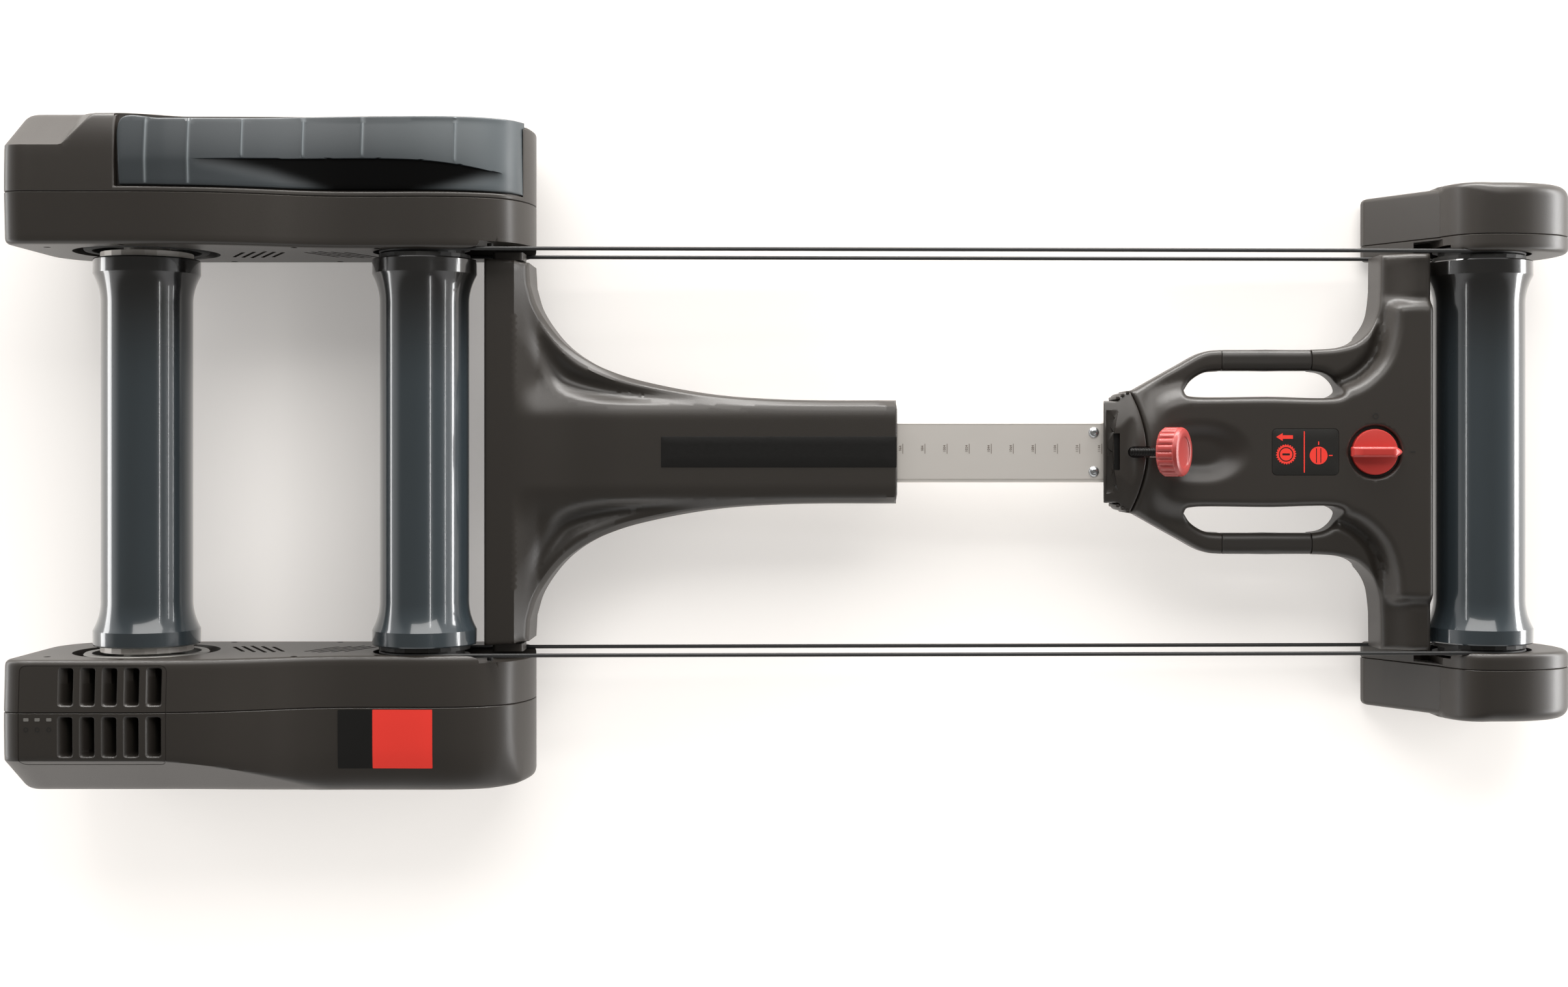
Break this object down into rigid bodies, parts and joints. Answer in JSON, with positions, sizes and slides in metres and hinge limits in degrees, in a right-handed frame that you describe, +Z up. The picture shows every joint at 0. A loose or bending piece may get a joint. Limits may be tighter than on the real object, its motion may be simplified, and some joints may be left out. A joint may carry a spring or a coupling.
{
  "type": "bike rollers",
  "caption": "Indoor cycling rollers: wide drums between side boxes, joined by round elastic belts, on a beam whose front section slides to fit the wheelbase.",
  "frame": {"origin": "on the floor below the middle of the overall box", "axes": "+X to the front drum, +Y to the side with the step pad, +Z up"},
  "size_m": [1.396, 0.604, 0.1825],
  "materials": {
    "shell": "moulded, fine grain, satin",
    "drum": "smooth, high gloss",
    "dark_plastic": "moulded, satin",
    "steel": "ground or zinc plated",
    "aluminium": "satin anodised",
    "iron": "painted casting",
    "pad": "satin with low ribs",
    "rubber": "matt",
    "belt": "smooth elastic cord",
    "knob_red": "satin",
    "dial_red": "satin",
    "grip": "soft touch",
    "label": "smooth film",
    "board_green": "printed circuit board"
  },
  "bodies": {
    "rear_frame": {"left_inner_shell": "shell", "left_outer_shell": "shell", "right_inner_shell": "shell", "right_outer_shell": "shell", "step_pad": "pad", "left_foot_strip": "rubber", "right_foot_strip": "rubber", "rear_axle": "steel", "mid_axle": "steel", "rear_beam": "shell", "beam_tube": "aluminium", "stop_screw_left": "steel", "stop_screw_right": "steel", "brake_magnet": "iron", "control_board": "board_green", "shaft_bearing_inner": "steel", "shaft_bearing_outer": "steel", "ribbed_belt": "belt", "drive_belt_left": "belt", "drive_belt_right": "belt"},
    "rear_drum": {"rear_drum_barrel": "drum", "rear_cap_left": "dark_plastic", "rear_cap_right": "dark_plastic", "rear_bearing_left": "steel", "rear_bearing_right": "steel", "rear_hub_left": "aluminium", "rear_hub_right": "aluminium"},
    "mid_drum": {"mid_drum_barrel": "drum", "mid_cap_left": "dark_plastic", "mid_cap_right": "dark_plastic", "mid_bearing_left": "steel", "mid_bearing_right": "steel", "mid_pulley_left": "dark_plastic", "mid_pulley_right": "dark_plastic"},
    "front_drum": {"front_drum_barrel": "drum", "front_cap_left": "dark_plastic", "front_cap_right": "dark_plastic", "front_bearing_left": "steel", "front_bearing_right": "steel", "front_pulley_left": "dark_plastic", "front_pulley_right": "dark_plastic"},
    "flywheel": {"flywheel": "iron", "flywheel_shaft": "steel", "small_pulley": "steel"},
    "front_frame": {"collar": "shell", "front_housing": "shell", "grip_left": "grip", "grip_right": "grip", "label_plate": "label", "pod_inner_left": "shell", "pod_inner_right": "shell", "pod_outer_left": "shell", "pod_outer_right": "shell", "pod_foot_left": "rubber", "pod_foot_right": "rubber", "front_axle": "steel"},
    "clamp_screw": {"clamp_screw": "steel"},
    "clamp_knob": {"clamp_knob": "knob_red"},
    "lock_dial": {"lock_dial": "dial_red", "dial_spindle": "steel"}
  },
  "joints": [
    {"name": "rear_drum_spin", "type": "hinge", "parent": "rear_frame", "child": "rear_drum", "pos_m": [-0.597, 0, 0.098], "axis": [0, 1, 0], "continuous": true},
    {"name": "mid_drum_spin", "type": "hinge", "parent": "rear_frame", "child": "mid_drum", "pos_m": [-0.3455, 0, 0.098], "axis": [0, 1, 0], "continuous": true},
    {"name": "flywheel_spin", "type": "hinge", "parent": "rear_frame", "child": "flywheel", "pos_m": [-0.45, 0, 0.084], "axis": [0, 1, 0], "continuous": true},
    {"name": "frame_slide", "type": "slide", "parent": "rear_frame", "child": "front_frame", "axis": [-1, 0, 0], "range_m": [0, 0.18], "deforming": ["drive_belt_left", "drive_belt_right"]},
    {"name": "front_drum_spin", "type": "hinge", "parent": "front_frame", "child": "front_drum", "pos_m": [0.618, 0, 0.075], "axis": [0, 1, 0], "continuous": true},
    {"name": "clamp_screw_travel", "type": "slide", "parent": "front_frame", "child": "clamp_screw", "axis": [0.8572, 0, 0.515], "range_m": [0, 0.0031]},
    {"name": "clamp_knob_turn", "type": "hinge", "parent": "clamp_screw", "child": "clamp_knob", "pos_m": [0.3266, 0, 0.132], "axis": [0.8572, 0, 0.515], "range_deg": [0, 720]},
    {"name": "lock_dial_turn", "type": "hinge", "parent": "front_frame", "child": "lock_dial", "pos_m": [0.5117, 0, 0.106], "axis": [0, 0, 1], "range_deg": [0, 90]}
  ],
  "couplings": [
    {"joint": "front_drum_spin", "follows": "mid_drum_spin", "ratio": 1},
    {"joint": "flywheel_spin", "follows": "rear_drum_spin", "ratio": 2.791},
    {"joint": "clamp_screw_travel", "follows": "clamp_knob_turn", "m_per_rad": 0.00023873}
  ]
}
